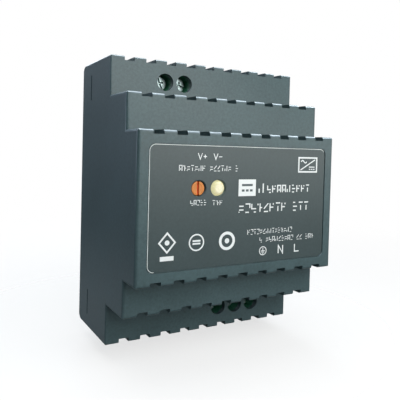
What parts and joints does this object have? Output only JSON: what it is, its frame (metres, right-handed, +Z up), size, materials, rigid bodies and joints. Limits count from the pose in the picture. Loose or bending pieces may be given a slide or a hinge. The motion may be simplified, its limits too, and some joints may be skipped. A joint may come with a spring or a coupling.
{
  "type": "DIN rail power supply",
  "caption": "Stepped plastic-cased switch-mode power supply that clips to a 35 mm rail, with rising-clamp screw terminals, a voltage trimmer and a status lamp.",
  "frame": {"origin": "middle of the rail seat: the plane of the rail's front flanges, on the rail's centre line, at the middle of the unit's width", "axes": "+X along the rail, to the right seen from the front; +Z up; +Y towards the wall, so the front faces -Y"},
  "size_m": [0.0716, 0.0608, 0.093],
  "materials": {
    "housing": "fine matt moulded grain",
    "label": "smooth satin film",
    "base": "matt moulded",
    "latch": "matt moulded",
    "spring_steel": "drawn wire",
    "terminal_plastic": "satin moulded",
    "tinned_copper": "tin plated",
    "screw_steel": "zinc plated",
    "clamp_steel": "zinc plated",
    "board": "solder mask over glass laminate",
    "solder": "bright solder",
    "insulation_film": "clear polyester",
    "sleeve_black": "shrink sleeve",
    "sleeve_teal": "shrink sleeve",
    "aluminium_can": "drawn can",
    "fuse_glass": "clear tube",
    "nickel": "nickel plated",
    "disc_blue": "dipped coating",
    "disc_green": "dipped coating",
    "film_box": "moulded box",
    "ferrite": "sintered ferrite",
    "copper_wire": "enamelled wire",
    "black_plastic": "moulded",
    "iron_powder": "painted core",
    "epoxy_black": "moulded epoxy",
    "heatsink_aluminium": "mill finish",
    "tape_yellow": "polyester tape",
    "ivory_plastic": "moulded",
    "resistor_body": "lacquered film resistor",
    "trimmer_blue": "moulded",
    "trimmer_orange": "moulded",
    "lamp_lens": "clear tinted epoxy"
  },
  "bodies": {
    "housing": {"front_cover": "housing", "front_label": "label", "rear_base": "base", "latch_spring": "spring_steel", "output_terminal_block": "terminal_plastic", "input_terminal_block": "terminal_plastic", "output_contact_bars": "tinned_copper", "input_contact_bars": "tinned_copper", "main_board": "board", "solder_joints": "solder", "board_screws": "screw_steel", "insulation_sheet": "insulation_film", "bulk_capacitor_sleeve": "sleeve_black", "bulk_capacitor_can": "aluminium_can", "output_capacitor_sleeves": "sleeve_teal", "output_capacitor_cans": "aluminium_can", "fuse_glass": "fuse_glass", "fuse_caps": "nickel", "fuse_clips": "nickel", "varistor": "disc_blue", "inrush_limiter": "disc_green", "y_capacitors": "disc_blue", "x_capacitor": "film_box", "input_choke_core": "ferrite", "input_choke_winding": "copper_wire", "input_choke_cradle": "black_plastic", "output_choke_core": "iron_powder", "output_choke_winding": "copper_wire", "bridge_rectifier": "epoxy_black", "primary_heatsink": "heatsink_aluminium", "power_transistor": "epoxy_black", "output_heatsink": "heatsink_aluminium", "output_rectifier": "epoxy_black", "heatsink_screws": "screw_steel", "transformer_core": "ferrite", "transformer_winding": "tape_yellow", "transformer_bobbin": "black_plastic", "optocouplers": "ivory_plastic", "controller_chips": "epoxy_black", "power_resistors": "resistor_body", "control_board": "board", "board_header": "black_plastic", "trimmer_body": "trimmer_blue", "status_lamp": "lamp_lens", "lamp_leads": "tinned_copper"},
    "latch": {"din_latch": "latch"},
    "trimmer": {"trimmer_rotor": "trimmer_orange"},
    "output_plus_screw_body": {"output_plus_screw": "screw_steel"},
    "output_plus_clamp_body": {"output_plus_clamp": "clamp_steel"},
    "output_minus_screw_body": {"output_minus_screw": "screw_steel"},
    "output_minus_clamp_body": {"output_minus_clamp": "clamp_steel"},
    "earth_screw_body": {"earth_screw": "screw_steel"},
    "earth_clamp_body": {"earth_clamp": "clamp_steel"},
    "neutral_screw_body": {"neutral_screw": "screw_steel"},
    "neutral_clamp_body": {"neutral_clamp": "clamp_steel"},
    "line_screw_body": {"line_screw": "screw_steel"},
    "line_clamp_body": {"line_clamp": "clamp_steel"}
  },
  "joints": [
    {"name": "latch_slide", "type": "slide", "parent": "housing", "child": "latch", "axis": [0, 0, -1], "range_m": [0, 0.005], "stiffness_N_per_m": 1500, "springref_m": -0.003, "deforming": ["latch_spring"]},
    {"name": "trimmer_turn", "type": "hinge", "parent": "housing", "child": "trimmer", "pos_m": [-0.0163, -0.05, 0.0055], "axis": [0, -1, 0], "range_deg": [-120, 120]},
    {"name": "output_plus_screw_turn", "type": "hinge", "parent": "housing", "child": "output_plus_screw_body", "pos_m": [-0.01685, -0.0225, 0.0393], "axis": [0, 1, 0], "range_deg": [0, 1800]},
    {"name": "output_plus_clamp_rise", "type": "slide", "parent": "housing", "child": "output_plus_clamp_body", "axis": [0, -1, 0], "range_m": [0, 0.0025]},
    {"name": "output_minus_screw_turn", "type": "hinge", "parent": "housing", "child": "output_minus_screw_body", "pos_m": [-0.00985, -0.0225, 0.0393], "axis": [0, 1, 0], "range_deg": [0, 1800]},
    {"name": "output_minus_clamp_rise", "type": "slide", "parent": "housing", "child": "output_minus_clamp_body", "axis": [0, -1, 0], "range_m": [0, 0.0025]},
    {"name": "earth_screw_turn", "type": "hinge", "parent": "housing", "child": "earth_screw_body", "pos_m": [0.0058, -0.0225, -0.0393], "axis": [0, 1, 0], "range_deg": [0, 1800]},
    {"name": "earth_clamp_rise", "type": "slide", "parent": "housing", "child": "earth_clamp_body", "axis": [0, -1, 0], "range_m": [0, 0.0025]},
    {"name": "neutral_screw_turn", "type": "hinge", "parent": "housing", "child": "neutral_screw_body", "pos_m": [0.0128, -0.0225, -0.0393], "axis": [0, 1, 0], "range_deg": [0, 1800]},
    {"name": "neutral_clamp_rise", "type": "slide", "parent": "housing", "child": "neutral_clamp_body", "axis": [0, -1, 0], "range_m": [0, 0.0025]},
    {"name": "line_screw_turn", "type": "hinge", "parent": "housing", "child": "line_screw_body", "pos_m": [0.0198, -0.0225, -0.0393], "axis": [0, 1, 0], "range_deg": [0, 1800]},
    {"name": "line_clamp_rise", "type": "slide", "parent": "housing", "child": "line_clamp_body", "axis": [0, -1, 0], "range_m": [0, 0.0025]}
  ],
  "couplings": [
    {"joint": "output_plus_screw_turn", "follows": "output_plus_clamp_rise", "rad_per_m": 12566},
    {"joint": "output_minus_screw_turn", "follows": "output_minus_clamp_rise", "rad_per_m": 12566},
    {"joint": "earth_screw_turn", "follows": "earth_clamp_rise", "rad_per_m": 12566},
    {"joint": "neutral_screw_turn", "follows": "neutral_clamp_rise", "rad_per_m": 12566},
    {"joint": "line_screw_turn", "follows": "line_clamp_rise", "rad_per_m": 12566}
  ]
}
